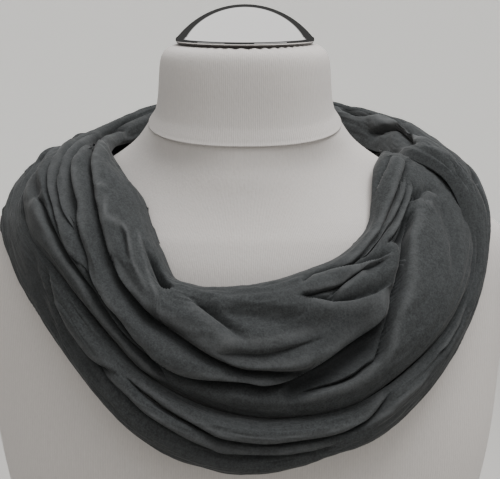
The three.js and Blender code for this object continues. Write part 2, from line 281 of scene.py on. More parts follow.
def rollWidth(turns):
    # length of the smooth roll across the cloth
    turns = np.asarray(turns, float)
    across = np.linspace(0, 1, scarf["widthSteps"])
    grid = np.broadcast_to(turns[..., None], turns.shape + across.shape)
    reach, height = rollLine(grid, across + 0 * grid)
    return np.hypot(np.diff(reach, axis=-1), np.diff(height, axis=-1)).sum(-1)


def smoothLine(points, pieces):
    rows = [(k, *point) for k, point in enumerate(points)]
    return smoothRows(np.linspace(0, len(rows) - 1, (len(rows) - 1) * pieces + 1), rows)


# The grid of the roll in which a traced line is looked up. Places that face away count as far off.
search = {
    "turnStep": 0.5, "acrossStep": 0.005, "facing": -0.1, "farOff": 400, "linePieces": 3, "stepLimit": 0.6,
    "flat": 0.05}


def placesSeen(points, first, last):
    # (turn, across) places on the roll under a line of the photograph's frame
    eye, ahead, up = cameraFrame()
    turnStep, acrossStep = search["turnStep"], search["acrossStep"]
    turns = np.arange(first, last + turnStep / 5, turnStep)[:, None]
    across = np.linspace(acrossStep, 1 - acrossStep, round(1 / acrossStep) - 1)[None, :]
    turns, across = np.broadcast_arrays(turns, across)
    spots = toSpace(np.radians(turns), *rollLine(turns, across))
    away = spots - eye
    depth = away @ ahead
    px = view["width"] / 2 + view["focalPixels"] * away[..., 0] / depth
    py = view["height"] / 2 - view["focalPixels"] * (away @ up) / depth
    facing = np.cross(np.gradient(spots, axis=0), np.gradient(spots, axis=1))
    shown = (facing * away).sum(-1)
    limit = search["facing"] * np.linalg.norm(facing, axis=-1) * view["distance"]
    shown = shown * np.sign(np.median(shown)) > limit
    pxTurn, pxAcross = np.gradient(px)
    pyTurn, pyAcross = np.gradient(py)
    found = []
    for x, y in smoothLine(points, search["linePieces"]):
        gap = (px - x) ** 2 + (py - y) ** 2 + np.where(shown, 0, search["farOff"])
        k = np.unravel_index(np.argmin(gap), gap.shape)
        step = np.linalg.lstsq(np.array([[pxTurn[k], pxAcross[k]], [pyTurn[k], pyAcross[k]]]),
                               np.array([x - px[k], y - py[k]]), rcond=search["flat"])[0]
        step = np.clip(step, -search["stepLimit"], search["stepLimit"])
        found.append((turns[k] + turnStep * step[0], across[k] + acrossStep * step[1]))
    return np.array(found)


# Folds that show from the front, each traced along its line in the photograph's frame: its name,
# the turns that it can lie on, its kind, depth, lip width, hollow width and ends' fade.
# over: the inner side's cloth lies over the outer side's; under: the other way round;
# valley: a plain hollow; ridge: a raised, worn line.
front = (0, 235)
lower = (362, 560)
napeLeft = (195, 262)
napeRight = (280, 362)
crossing = (340, 400)
crossingFoot = (362, 420)
tracedFolds = [
    ("outerStrand", front, "under", 11, 4, 10, 6, [
        (33, 192), (36, 201), (42, 220), (52, 241), (62, 258), (75, 277), (86, 293), (98, 311), (115, 333),
        (130, 350), (146, 365), (161, 378), (171, 385)]),
    ("outerHollow", front, "valley", 5, 8, 9, 6, [(40, 150), (33, 160), (30, 172), (33, 186), (38, 200)]),
    ("bandEdge", front, "over", 14, 4, 16, 7, [
        (77, 259), (84, 270), (94, 285), (103, 299), (120, 319), (131, 335), (141, 346), (156, 361),
        (177, 373), (199, 378), (222, 380), (246, 382), (262, 385), (280, 383), (296, 378), (312, 369),
        (330, 358), (355, 341), (380, 324), (398, 305)]),
    ("holeEdge", front, "over", 7, 3, 7, 5, [
        (76, 137), (62, 144), (52, 156), (47, 170), (47, 186), (51, 202), (57, 224), (63, 241), (71, 256),
        (80, 267)]),
    ("thirdPleat", front, "over", 5, 3, 8, 6, [
        (96, 132), (80, 139), (67, 150), (60, 163), (56, 178), (58, 194), (62, 210), (70, 224), (78, 240)]),
    ("secondPleat", front, "over", 8, 3.5, 9, 7, [
        (111, 134), (95, 139), (82, 147), (73, 158), (71, 172), (74, 198), (76, 218), (80, 238), (86, 256),
        (91, 272), (104, 295), (117, 312), (128, 324)]),
    ("secondLine", front, "valley", 3, 4, 4, 6, [(78, 222), (83, 242), (89, 258), (96, 274), (106, 290)]),
    ("mainFold", front, "over", 11, 4.5, 11, 6, [
        (131, 130), (119, 133), (105, 139), (96, 148), (92, 160), (93, 175), (95, 195), (99, 214), (102, 228),
        (106, 245), (113, 266), (121, 283), (134, 298), (147, 312), (163, 323), (177, 333), (191, 343),
        (206, 353), (222, 361), (235, 366), (253, 369), (275, 370), (292, 369), (307, 365), (322, 357)]),
    ("panelValley", front, "valley", 3, 7, 8, 8, [
        (107, 246), (116, 258), (124, 268), (132, 280), (142, 293)]),
    ("topWrinkle", front, "ridge", 1.6, 2.2, 6, 2, [(99, 184), (103, 187), (109, 188)]),
    ("stepRidge", front, "ridge", 1.9, 3, 6, 4, [
        (106, 192), (108, 207), (109, 219), (119, 225), (127, 231), (130, 243), (133, 259), (143, 281),
        (154, 298)]),
    ("stepUnder", front, "valley", 2.5, 4, 6, 4, [
        (112, 226), (120, 231), (124, 240), (126, 254), (132, 268)]),
    ("rimRidge", front, "ridge", 1.5, 3, 5, 4, [(138, 226), (141, 246), (147, 268), (154, 288), (163, 304)]),
    ("pocket", front, "valley", 11, 5, 6, 3, [(147, 243), (152, 256), (157, 268), (163, 280), (170, 288)]),
    ("pocketFold", front, "under", 3, 2, 4, 1.5, [(152, 262), (159, 268), (164, 272)]),
    ("pocketCrease", front, "under", 3, 2, 4, 1.5, [(157, 274), (163, 279), (168, 284)]),
    ("pocketTop", front, "over", 2.5, 2, 3.5, 1.5, [(147, 248), (152, 252), (156, 259)]),
    ("frontOverlap", front, "under", 6, 5, 14, 8, [
        (184, 292), (193, 300), (207, 311), (222, 323), (238, 335), (252, 344)]),
    ("frontCrisp", front, "over", 4.5, 3.5, 9, 7, [
        (208, 346), (222, 351), (243, 352), (267, 352), (287, 348), (303, 343), (323, 337), (336, 331)]),
    ("frontValley", front, "valley", 4, 9, 10, 8, [
        (212, 308), (230, 312), (253, 314), (277, 318), (297, 323), (317, 328), (342, 329), (363, 322),
        (383, 308)]),
    ("recess", front, "valley", 13, 15, 13, 8, [
        (272, 392), (300, 388), (328, 376), (352, 360), (376, 340), (392, 318)]),
    ("recessFloor", front, "under", 11, 4, 10, 5, [
        (296, 399), (310, 397), (326, 392), (345, 386), (360, 378), (374, 366), (384, 354)]),
    ("panelEdge", front, "under", 12, 4, 9, 3, [
        (413, 204), (416, 216), (411, 234), (410, 248), (408, 266), (405, 281), (401, 298), (395, 320),
        (390, 343), (384, 358), (376, 369)]),
    ("panelPit", front, "valley", 12, 5, 6, 2, [(410, 207), (408, 218), (403, 231), (395, 243)]),
    ("panelHole", front, "valley", 10, 3, 3, 1, [(413, 195), (418, 193), (424, 193)]),
    ("panelTop", front, "under", 4, 3, 5, 1.5, [(414, 199), (421, 196), (427, 189), (435, 192), (443, 199)]),
    ("panelNick", front, "under", 2.5, 2, 4, 1, [(425, 203), (430, 199), (436, 203)]),
    ("panelRight", front, "valley", 2.2, 7, 8, 5, [
        (443, 198), (447, 216), (451, 232), (454, 246), (455, 262), (454, 280)]),
    ("stripRim", front, "under", 4, 3, 8, 3, [(393, 150), (390, 160), (380, 180), (373, 196)]),
    ("strandA", front, "over", 8, 3.5, 7, 5, [
        (407, 157), (402, 170), (398, 181), (393, 195), (386, 209), (379, 227), (371, 239), (361, 251),
        (350, 261), (338, 268)]),
    ("strandB", front, "over", 6, 3, 6, 5, [
        (409, 170), (405, 184), (402, 197), (393, 216), (382, 231), (369, 249), (357, 259)]),
    ("strandC", front, "over", 7, 3, 7, 5, [
        (414, 176), (411, 194), (405, 209), (397, 227), (385, 245)]),
    ("slimStrip", front, "under", 6, 3, 7, 5, [
        (397, 248), (392, 251), (386, 254), (371, 259), (353, 265), (333, 269), (314, 275), (300, 282)]),
    ("slimStripBelow", front, "over", 6, 3, 8, 5, [
        (395, 256), (387, 259), (370, 265), (353, 274), (340, 283), (320, 289), (296, 294)]),
    ("wornRim", front, "under", 5, 3, 9, 2, [(369, 265), (357, 274), (346, 282), (337, 291), (330, 298)]),
    ("frontTop", front, "under", 6.5, 3.5, 10, 6, [
        (404, 276), (391, 284), (377, 292), (357, 299), (336, 301), (314, 297), (298, 295)]),
    ("lowerFirst", lower, "over", 6, 3.5, 12, 8, [
        (47, 262), (50, 285), (57, 310), (64, 326), (77, 343), (94, 360), (111, 370), (122, 374)]),
    ("lowerUpper", lower, "over", 8, 4, 11, 8, [
        (120, 374), (134, 383), (149, 393), (163, 404), (184, 417), (206, 430), (220, 437), (243, 441),
        (267, 443), (287, 441), (307, 438), (327, 435), (345, 430), (357, 424), (370, 416), (380, 405),
        (390, 393), (398, 384)]),
    ("lowerLower", lower, "over", 6, 3.5, 9, 7, [
        (70, 341), (89, 360), (106, 377), (120, 389), (137, 406), (149, 416), (177, 434), (206, 449),
        (220, 455), (240, 457), (267, 457), (292, 456), (317, 452), (333, 448), (343, 445)]),
    ("lowerRim", lower, "ridge", 1.8, 4, 6, 6, [
        (432, 367), (420, 384), (407, 394), (390, 410), (375, 421), (364, 431)]),
    ("lowerSoft", lower, "valley", 2.5, 8, 9, 8, [(30, 244), (34, 270), (42, 300), (52, 325), (66, 348)]),
    ("crossingLine", crossingFoot, "valley", 3, 5, 5, 5, [(476, 215), (479, 240), (478, 262), (474, 280)]),
    ("crossingLine2", crossingFoot, "over", 4, 3, 5, 5, [(470, 300), (459, 325), (447, 345), (436, 358)]),
    ("crossingDimple", crossing, "valley", 3, 5, 5, 3, [(452, 164), (459, 172), (461, 181)]),
    ("crossingBump", crossing, "ridge", 2.5, 6, 6, 3, [(430, 146), (441, 153), (450, 158)]),
    ("napeRightTop", napeRight, "over", 5, 3.5, 8, 5, [
        (334, 107), (346, 113), (358, 117), (379, 117), (397, 122), (409, 121)]),
    ("napeRightCrease", napeRight, "under", 8, 5, 11, 5, [
        (364, 133), (375, 129), (386, 126), (398, 127), (406, 134), (416, 143)]),
    ("napeLeftMain", napeLeft, "over", 8, 4, 9, 4, [
        (100, 128), (112, 130), (127, 126), (143, 124), (152, 121)]),
    ("napeLeftTop", napeLeft, "over", 4, 3, 7, 4, [(118, 121), (130, 117), (143, 115), (155, 113)]),
]

# Folds round the nape and the back, the same but by (turn, across) places
hiddenFolds = [
    ("napeInner", "over", 6, 4, 10, 9, [
        (196, 0.2), (235, 0.26), (262, 0.22), (286, 0.27), (313, 0.3), (352, 0.36)]),
    ("napeMiddle", "valley", 4.5, 8, 9, 9, [
        (200, 0.5), (230, 0.55), (258, 0.48), (290, 0.54), (320, 0.56), (340, 0.6)]),
    ("napeOuter", "under", 6, 4, 10, 9, [(203, 0.76), (243, 0.74), (286, 0.79), (329, 0.72), (366, 0.62)]),
    ("napeThin", "over", 3, 3, 6, 9, [(226, 0.36), (248, 0.4), (272, 0.36), (298, 0.42), (316, 0.44)]),
    ("crossingTop", "over", 5, 4, 9, 6, [(338, 0.3), (346, 0.34), (354, 0.42), (360, 0.5)]),
    ("shoulderDip", "valley", 6, 12, 13, 9, [(550, 0.46), (562, 0.5), (590, 0.46), (622, 0.42)]),
    ("shoulderPleat", "over", 5, 4, 9, 8, [(556, 0.7), (566, 0.66), (578, 0.66), (594, 0.64)]),
    ("shoulderInner", "over", 4, 4, 8, 8, [(556, 0.22), (566, 0.26), (580, 0.24), (600, 0.2)]),
    ("backUpper", "over", 6, 4, 11, 9, [(592, 0.28), (615, 0.26), (640, 0.3), (670, 0.33), (704, 0.4)]),
    ("backMiddle", "over", 5, 4, 10, 9, [(604, 0.48), (630, 0.5), (652, 0.46), (680, 0.52)]),
    ("backLower", "over", 7, 4, 11, 9, [(588, 0.7), (610, 0.68), (640, 0.72), (668, 0.7), (698, 0.66)]),
    ("backLast", "under", 4, 4, 8, 9, [(612, 0.86), (636, 0.84), (660, 0.86), (684, 0.84)]),
]


# Numbers that all folds share. Those of the lips are shares of a fold's own depth or lip width.
drape = {
    "hiddenPieces": 4, "fadeLength": 2.2, "fadeShare": 0.45, "margin": 20.0,
    # how the columns of the mesh crowd beside the folds
    "fineColumns": 401, "crowding": 1.8, "crowdFrom": 1.5, "crowdWidth": 4, "crowdLimit": 5,
    # the worn top of a ridge
    "ridgeWear": 0.8, "ridgeWearWidth": 0.5,
    # the swelling behind a lip, and its worn line
    "swell": 0.14, "swellFrom": 1.5, "swellWidth": 1.4,
    "lipWear": 0.55, "lipWearFrom": 0.9, "lipWearWidth": 0.45,
    # how far a lip leans over its hollow
    "lean": 0.34, "leanLimit": 3.0, "leanFrom": 0.55, "leanWidth": 2.2, "leanEnd": 0.6,
    # the share of the width beside each edge in which folds fade out
    "calmEdge": 0.08,
    # ripples: seed, height, cells round the loop, cells across
    "ripples": [(3, 0.55, 90, 22), (4, 0.3, 260, 30), (5, 0.3, 120, 60)],
    # how far the tucked strip runs in for each millimetre down
    "tuckLean": 0.35,
}


def gatherFolds():
    # every fold as a line of (millimetres along the loop, millimetres across the cloth)
    gathered = []
    rows = [(*fold[2:-1], placesSeen(fold[-1], *fold[1])) for fold in tracedFolds]
    rows += [(*fold[1:-1], smoothLine(fold[-1], drape["hiddenPieces"])) for fold in hiddenFolds]
    for kind, depth, lip, hollow, fade, places in rows:
        if places[-1, 0] < places[0, 0]:
            places = places[::-1]
        reach = float(rollLine(places[:, 0], places[:, 1])[0].mean())
        perTurn = math.radians(1) * reach
        line = np.stack([places[:, 0] * perTurn, places[:, 1] * rollWidth(places[:, 0])], axis=-1)
        gathered.append((kind, depth, lip, hollow, fade * drape["fadeLength"], perTurn, line))
    return gathered


folds = gatherFolds()
print("folds laid out:", len(folds))


def foldDistance(fold, turns, width):
    # signed millimetres to the fold, more on the outer side, and how strong it is there, less at its ends
    perTurn, line = fold[5], fold[6]
    near = np.full(width.shape, 1e6)
    signed, along = np.full(width.shape, 1e3), np.zeros(width.shape)
    travelled = 0.0
    for start, end in zip(line[:-1], line[1:]):
        step = end - start
        size = float(np.hypot(*step)) + 1e-6
        low, high = sorted((start[0], end[0]))
        first = int(np.searchsorted(turns * perTurn, low - drape["margin"]))
        last = int(np.searchsorted(turns * perTurn, high + drape["margin"]))
        if last > first:
            part = slice(first, last)
            a = (turns[part] * perTurn)[:, None] - start[0]
            b = width[part] - start[1]
            share = np.clip((a * step[0] + b * step[1]) / size ** 2, 0, 1)
            gap = np.hypot(a - share * step[0], b - share * step[1])
            closer = gap < near[part]
            near[part] = np.where(closer, gap, near[part])
            side = np.where(step[0] * b - step[1] * a >= 0, 1.0, -1.0)
            signed[part] = np.where(closer, side * gap, signed[part])
            along[part] = np.where(closer, travelled + share * size, along[part])
        travelled += size
    fade = min(fold[4], travelled * drape["fadeShare"])
    strength = smoothStep(0, fade, along) * (1 - smoothStep(travelled - fade, travelled, along))
    return signed, strength


def lineNormals(reach, height):
    dr = np.gradient(reach, axis=1)
    dh = np.gradient(height, axis=1)
    size = np.hypot(dr, dh) + 1e-9
    return -dh / size, dr / size


def softNoise(seed, turn, across, turnCells, acrossCells):
    # smooth random values between -1 and 1, closed round the loop
    table = np.random.default_rng(seed).uniform(-1, 1, (turnCells, acrossCells + 2))
    a = np.mod(turn / 720 * turnCells, turnCells)
    b = np.clip(across, 0, 1) * acrossCells
    i, j = np.floor(a).astype(int) % turnCells, np.minimum(np.floor(b).astype(int), acrossCells)
    fa, fb = a - np.floor(a), b - np.floor(b)
    fa, fb = fa * fa * (3 - 2 * fa), fb * fb * (3 - 2 * fb)
    k, m = (i + 1) % turnCells, np.minimum(j + 1, acrossCells + 1)
    return ((table[i, j] * (1 - fa) + table[k, j] * fa) * (1 - fb)
            + (table[i, m] * (1 - fa) + table[k, m] * fa) * fb)


def foldsOver(turns):
    # the folds that come within a few degrees of these turns
    first, last, near = turns[0], turns[-1], 10
    return [fold for fold in folds
            if fold[6][:, 0].max() / fold[5] > first - near and fold[6][:, 0].min() / fold[5] < last + near]


def crowdedColumns(turns, width, here):
    # places across the cloth, closer together beside the folds
    fine = np.linspace(0, 1, drape["fineColumns"])
    grid = np.broadcast_to(turns[:, None], (len(turns), len(fine)))
    reach, height = rollLine(grid, fine[None, :] + 0 * grid)
    steps = np.hypot(np.diff(reach, axis=1), np.diff(height, axis=1))
    crowd = np.ones_like(reach)
    for fold in here:
        signed, strength = foldDistance(fold, turns, fine[None, :] * width)
        beside = (np.abs(signed) - drape["crowdFrom"]) / drape["crowdWidth"]
        crowd = crowd + drape["crowding"] * strength * np.exp(-(beside ** 2))
    crowd = np.minimum(crowd, drape["crowdLimit"])
    crowded = np.concatenate([np.zeros((len(turns), 1)), np.cumsum(crowd[:, 1:] * steps, axis=1)], axis=1)
    crowded = crowded / crowded[:, -1:]
    columns = np.linspace(0, 1, scarf["columns"])
    return np.array([np.interp(columns, row, fine) for row in crowded])


def foldShapes(turns, across, width, here):
    # how far each place is sunk, raised and slid sideways by the folds, and how worn it is
    sunk, raised, slid = np.zeros_like(across), np.zeros_like(across), np.zeros_like(across)
    wear = np.zeros_like(across)
    for fold in here:
        kind, depth, lip, hollow = fold[:4]
        away, fade = foldDistance(fold, turns, across * width)
        if kind == "ridge":
            raised += depth * fade * np.exp(-((away / lip) ** 2))
            wear += drape["ridgeWear"] * fade * np.exp(-((away / (drape["ridgeWearWidth"] * lip)) ** 2))
            continue
        u = -away if kind == "under" else away
        if kind == "valley":
            lipSide = np.clip(1 + u / lip, 0, 1) ** 2 * (1 + 2 * np.clip(-u / lip, 0, 1))
            runSide = np.clip(1 - u / hollow, 0, 1) ** 2 * (1 + 2 * np.clip(u / hollow, 0, 1))
        else:
            lipSide = 1 - np.sqrt(1 - np.clip(1 + u / lip, 0, 1) ** 2)
            runSide = np.clip(1 - u / hollow, 0, 1) ** 2
            behind = (u + drape["swellFrom"] * lip) / (drape["swellWidth"] * lip)
            raised += drape["swell"] * depth * fade * np.exp(-(behind ** 2))
            side = -1.0 if kind == "under" else 1.0
            leaning = np.clip(1 - np.abs(u + drape["leanFrom"] * lip) / (drape["leanWidth"] * lip), 0, 1) ** 2
            leaning = leaning * smoothStep(drape["leanEnd"], -drape["leanFrom"] * lip, u)
            slid += side * fade * min(drape["lean"] * depth, drape["leanLimit"]) * leaning
            worn = (u + drape["lipWearFrom"] * lip) / (drape["lipWearWidth"] * lip)
            wear += drape["lipWear"] * fade * np.exp(-(worn ** 2))
        sunk += (depth * fade * np.where(u < 0, lipSide, runSide)) ** 3
    return np.cbrt(sunk), raised, slid, wear


def layCloth(turns, tucked):
    # for each place, one row for each turn: its angle, the cloth's outer face and its lining as reach
    # and height, the millimetres across the cloth, the wear and the depth, which the finish darkens as
    # painted shade
    width = rollWidth(turns)[:, None]
    here = foldsOver(turns)
    across = crowdedColumns(turns, width, here)
    grid = np.broadcast_to(turns[:, None], across.shape)
    reach, height = rollLine(grid, across)
    outReach, outHeight = lineNormals(reach, height)
    sunk, raised, slid, wear = foldShapes(turns, across, width, here)
    guard = smoothStep(0, drape["calmEdge"], across) * smoothStep(0, drape["calmEdge"], 1 - across)
    ripple = sum(size * softNoise(seed, grid, across, cells, cellsAcross)
                 for seed, size, cells, cellsAcross in drape["ripples"])
    sunk, raised, slid = guard * sunk, guard * (raised + ripple), guard * slid
    angle = np.radians(grid)
    wall, gap = scarf["wall"], scarf["gap"]
    away = sunk - raised
    outer = clearOfBody(reach - outReach * away, height - outHeight * away, angle, wall + gap)
    normal = lineNormals(*outer)
    lining = (outer[0] - normal[0] * wall, outer[1] - normal[1] * wall)
    # the lips lean over the hollows beside them
    alongReach, alongHeight = np.gradient(reach, axis=1), np.gradient(height, axis=1)
    size = np.hypot(alongReach, alongHeight) + 1e-9
    outer = (outer[0] + slid * alongReach / size, outer[1] + slid * alongHeight / size)
    if tucked:
        length = smoothRows(turns, scarf["tuck"])[:, 0][:, None]
        share = (np.arange(scarf["tuckColumns"]) + 1)[None, :] / scarf["tuckColumns"]
        tailAngle = np.broadcast_to(angle[:, :1], (len(turns), scarf["tuckColumns"]))
        tail = clearOfBody(outer[0][:, -1:] - drape["tuckLean"] * length * share,
                           outer[1][:, -1:] - length * share, tailAngle, wall + gap)
        outer = [np.concatenate([outer[k], tail[k]], axis=1) for k in (0, 1)]
        lining = [np.concatenate([lining[k], tail[k] - (wall, 0)[k]], axis=1) for k in (0, 1)]
        angle = np.concatenate([angle, tailAngle], axis=1)
        bare = np.zeros(tailAngle.shape)
        wear, sunk = [np.concatenate([v, bare], axis=1) for v in (wear, sunk)]
        across = np.concatenate([across, 1 + bare], axis=1)
    return angle, outer, lining, across * width, wear, sunk


def makeGrid(name, rows, columns):
    bm = bmesh.new()
    bmesh.ops.create_grid(bm, x_segments=columns - 1, y_segments=rows - 1, size=1)
    mesh = bpy.data.meshes.new(name)
    bm.to_mesh(mesh)
    bm.free()
    # the grid's points in order, row by row
    flat = np.zeros(len(mesh.vertices) * 3)
    mesh.vertices.foreach_get("co", flat)
    order = np.lexsort((flat[0::3].round(5), flat[1::3].round(5)))
    return mesh, order


def linked(name, mesh, material):
    piece = bpy.data.objects.new(name, mesh)
    bpy.context.scene.collection.objects.link(piece)
    piece.data.materials.append(material)
    return piece


def applyModifiers(piece):
    bpy.context.view_layer.objects.active = piece
    for other in bpy.context.selected_objects:
        other.select_set(False)
    piece.select_set(True)
    for modifier in list(piece.modifiers):
        bpy.ops.object.modifier_apply(modifier=modifier.name)


def pinUvs(mesh, u, v):
    layer = mesh.uv_layers.new(name="clothUv")
    corners = np.zeros(len(mesh.loops), int)
    mesh.loops.foreach_get("vertex_index", corners)
    layer.data.foreach_set("uv", np.stack([u[corners], v[corners]], axis=-1).ravel())


def clothPiece(name, material):
    first, last = scarf["stretches"][name]
    first, last = first + scarf["joinHalfTurn"], last - scarf["joinHalfTurn"]
    turns = np.linspace(first, last, scarf["rings"])
    angle, outer, lining, width, wear, sunk = layCloth(turns, name.startswith("scarf_upper"))
    columns = angle.shape[1]
    mesh, order = makeGrid(name + "_cloth", len(turns), columns)
    count = len(order)
    faces = {"outer": toSpace(angle, *outer), "lining": toSpace(angle, *lining)}
    flat = np.zeros((count, 3))
    flat[order] = faces["outer"].reshape(-1, 3) * metres
    mesh.vertices.foreach_set("co", flat.ravel())
    along = np.broadcast_to((np.radians(turns) * scarf["meanReach"])[:, None], angle.shape)
    u, v = np.zeros(count), np.zeros(count)
    u[order], v[order] = along.ravel() * metres, width.ravel() * metres
    pinUvs(mesh, u, v)
    mesh.update()
    piece = linked(name + "_cloth", mesh, material)
    thick = piece.modifiers.new("wall", "SOLIDIFY")
    thick.thickness = scarf["wall"] * metres
    thick.offset = -1
    applyModifiers(piece)
    both = np.zeros(len(piece.data.vertices) * 3)
    piece.data.vertices.foreach_get("co", both)
    both = both.reshape(-1, 3)
    both[count + order] = faces["lining"].reshape(-1, 3) * metres
    piece.data.vertices.foreach_set("co", both.ravel())
    # the wear, and the depth that the finish turns into painted shade in the hollows; the lining gets a share
    # of both
    for key, values in (("wear", wear), ("depth", sunk)):
        spread = np.zeros(2 * count)
        spread[order] = values.ravel()
        spread[count + order] = values.ravel() * scarf["liningWearAndShade"]
        attribute = piece.data.attributes.new(key, "FLOAT", "POINT")
        attribute.data.foreach_set("value", spread)
    piece.data.shade_smooth()
    # the faces turn outward, and the cut rims keep crisp edges, so that the joins don't shade
    bm = bmesh.new()
    bm.from_mesh(piece.data)
    bmesh.ops.reverse_faces(bm, faces=bm.faces)
    for face in bm.faces:
        inner = [vertex.index >= count for vertex in face.verts]
        if any(inner) and not all(inner):
            for edge in face.edges:
                edge.smooth = False
    bm.to_mesh(piece.data)
    bm.free()
    piece.data.update()
    return piece


def clothFinish():
    # soft woven cloth: pale on worn lips, and darkened by painted shade where the folds sink it deep
    finish = Finish("slateCloth")
    where = finish.node("ShaderNodeTexCoord", {}, {}, 3)
    uv = finish.node("ShaderNodeUVMap", {"uv_map": "clothUv"}, {})
    grain = finish.noise(where, 850, 2, 0.7)
    mottle = finish.noise(where, 320, 3, 0.6)
    cloudy = finish.noise(where, 22, 2)
    stretched = finish.node("ShaderNodeMapping", {}, {"Vector": uv, "Scale": (110, 230, 1)})
    crinkle = finish.noise(stretched, 1.0, 3, 0.6)
    wear = finish.node("ShaderNodeAttribute", {"attribute_name": "wear"}, {}, 2)
    depth = finish.node("ShaderNodeAttribute", {"attribute_name": "depth"}, {}, 2)
    colour = finish.mix(((grain - 0.5) * 2.6 + (mottle - 0.5) * 1.3 + 0.5).limited(),
                        (0.026, 0.028, 0.029), (0.054, 0.058, 0.0595))
    colour = finish.mix(((cloudy - 0.35) * 0.8).limited(), colour, (0.054, 0.057, 0.058))
    colour = finish.mix((wear * (crinkle * 0.9 + 0.15) * 0.5).limited(), colour, (0.16, 0.165, 0.168))
    # painted shade: the colour darkens towards near black where the folds sink the cloth, standing in for
    # shade in the hollows
    colour = finish.mix((depth * 0.05).limited(), colour, (0.012, 0.013, 0.014))
    height = crinkle * 0.5 + grain * 0.3 + mottle * 0.35
    bump = finish.node("ShaderNodeBump", {}, {"Strength": 0.55, "Distance": 0.0007, "Height": height})
    shader = finish.node("ShaderNodeBsdfPrincipled", {}, {
        "Base Color": colour, "Roughness": 0.9, "Sheen Weight": 0.12, "Sheen Roughness": 0.4,
        "Specular IOR Level": 0.25, "Normal": bump})
    return finish.surface(shader)


def jerseyFinish(name, ribs):
    # fine upright ribs round the neck's axis; ribs: how many in the whole turn
    finish = Finish(name)
    where = finish.node("ShaderNodeTexCoord", {}, {}, 3)
    x = finish.node("ShaderNodeSeparateXYZ", {}, {0: where}, 0)
    y = finish.node("ShaderNodeSeparateXYZ", {}, {0: where}, 1)
    around = (y - place["forward"] * metres).math("ARCTAN2", x)
    rib = (around * ribs).math("SINE") * 0.5 + 0.5
    upright = finish.node("ShaderNodeMapping", {}, {"Vector": where, "Scale": (900, 900, 260)})
    knit = finish.noise(upright, 1.0, 2, 0.6)
    cloudy = finish.noise(where, 9, 2)
    colour = finish.mix((rib * 0.25 + knit * 0.75).limited(), (0.52, 0.488, 0.465), (0.65, 0.618, 0.595))
    colour = finish.mix(((cloudy - 0.4) * 0.5).limited(), colour, (0.56, 0.546, 0.536))
    height = rib * 0.35 + knit
    bump = finish.node("ShaderNodeBump", {}, {"Strength": 0.5, "Distance": 0.0004, "Height": height})
    shader = finish.node("ShaderNodeBsdfPrincipled", {}, {
        "Base Color": colour, "Roughness": 0.92, "Specular IOR Level": 0.2, "Sheen Weight": 0.1,
        "Normal": bump})
    return finish.surface(shader)


def chromeFinish():
    finish = Finish("polishedChrome")
    where = finish.node("ShaderNodeTexCoord", {}, {}, 3)
    smear = finish.noise(where, 60, 3)
    rough = smear * 0.03 + 0.01
    shader = finish.node("ShaderNodeBsdfPrincipled", {}, {
        "Base Color": (0.88, 0.87, 0.86), "Metallic": 1.0, "Roughness": rough})
    return finish.surface(shader)


# painted shade: a near black finish for the cap's lowest band, standing in for the dark line of shade under
# the cap's lip
def paintedShadeRimFinish():
    finish = Finish("paintedShadeRim")
    where = finish.node("ShaderNodeTexCoord", {}, {}, 3)
    rough = finish.noise(where, 200, 2) * 0.2 + 0.3
    shader = finish.node("ShaderNodeBsdfPrincipled", {}, {
        "Base Color": (0.035, 0.03, 0.027), "Roughness": rough})
    return finish.surface(shader)


def plainFinish(name, colour, glow=0.0):
    finish = Finish(name)
    shader = finish.node("ShaderNodeBsdfPrincipled", {}, {
        "Base Color": colour, "Roughness": 0.95, "Emission Color": colour, "Emission Strength": glow})
    return finish.surface(shader)


cloth, chrome, paintedShadeRim = clothFinish(), chromeFinish(), paintedShadeRimFinish()
torsoJersey, neckJersey = jerseyFinish("ribbedJersey", 480), jerseyFinish("ribbedJerseyNeck", 260)

# width across the cloth and length along the loop of what shows, in metres, how it is held, and on what
cuts = {
    "scarf_upper_front": (0.21, 0.34, "draped", ["bust_torso", "bust_neck"]),
    "scarf_upper_nape": (0.135, 0.26, "draped", ["bust_torso", "bust_neck"]),
    "scarf_lower_front": (0.08, 0.5, "draped", ["bust_torso", "scarf_upper_front"]),
    "scarf_lower_back": (0.105, 0.35, "draped", ["bust_torso", "scarf_upper_nape"]),
}
for name in scarf["stretches"]:
    piece = clothPiece(name, cloth)
    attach(piece, "root")
    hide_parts(name)
    width, length, held, under = cuts[name]
    print("cloth laid:", name)

# The hem of the neck's cover hangs over the torso's: each of its rings by a share of the drop,
# and so far out. Puckers run round the cover's top, most of them on one side.
cover = {
    "ringsPerRow": 6, "hemDrop": 1.2, "hemSpread": 0.35, "hemOut": 1.0,
    "hem": [(0, 0.3), (1, 0.3), (1.12, 1.0), (0.6, 1.2), (0.1, 0.9)],
    "puckers": 46, "puckerDepth": 0.55, "puckerTurn": 0.9,
}


def bodyRings(rows):
    # rings of points round the bust, in millimetres, for rows of its table
    turn = 2 * np.pi * np.arange(bust["sides"]) / bust["sides"]
    power = 2 / bust["squareness"]
    acrossWay = np.sign(np.cos(turn)) * np.abs(np.cos(turn)) ** power
    frontWay = np.sign(np.sin(turn)) * np.abs(np.sin(turn)) ** power
    rings = []
    for level, halfWidth, front, back, thinning, tilt in rows:
        thin = thinning * acrossWay ** 2
        y = frontWay * np.where(frontWay < 0, front, back) * (1 - thin) + 2 * bust["setBack"] * thin
        rings.append(np.stack([halfWidth * acrossWay, y, level + tilt * y], axis=-1))
    return np.array(rings) + (0, place["forward"], place["shoulderHeight"])


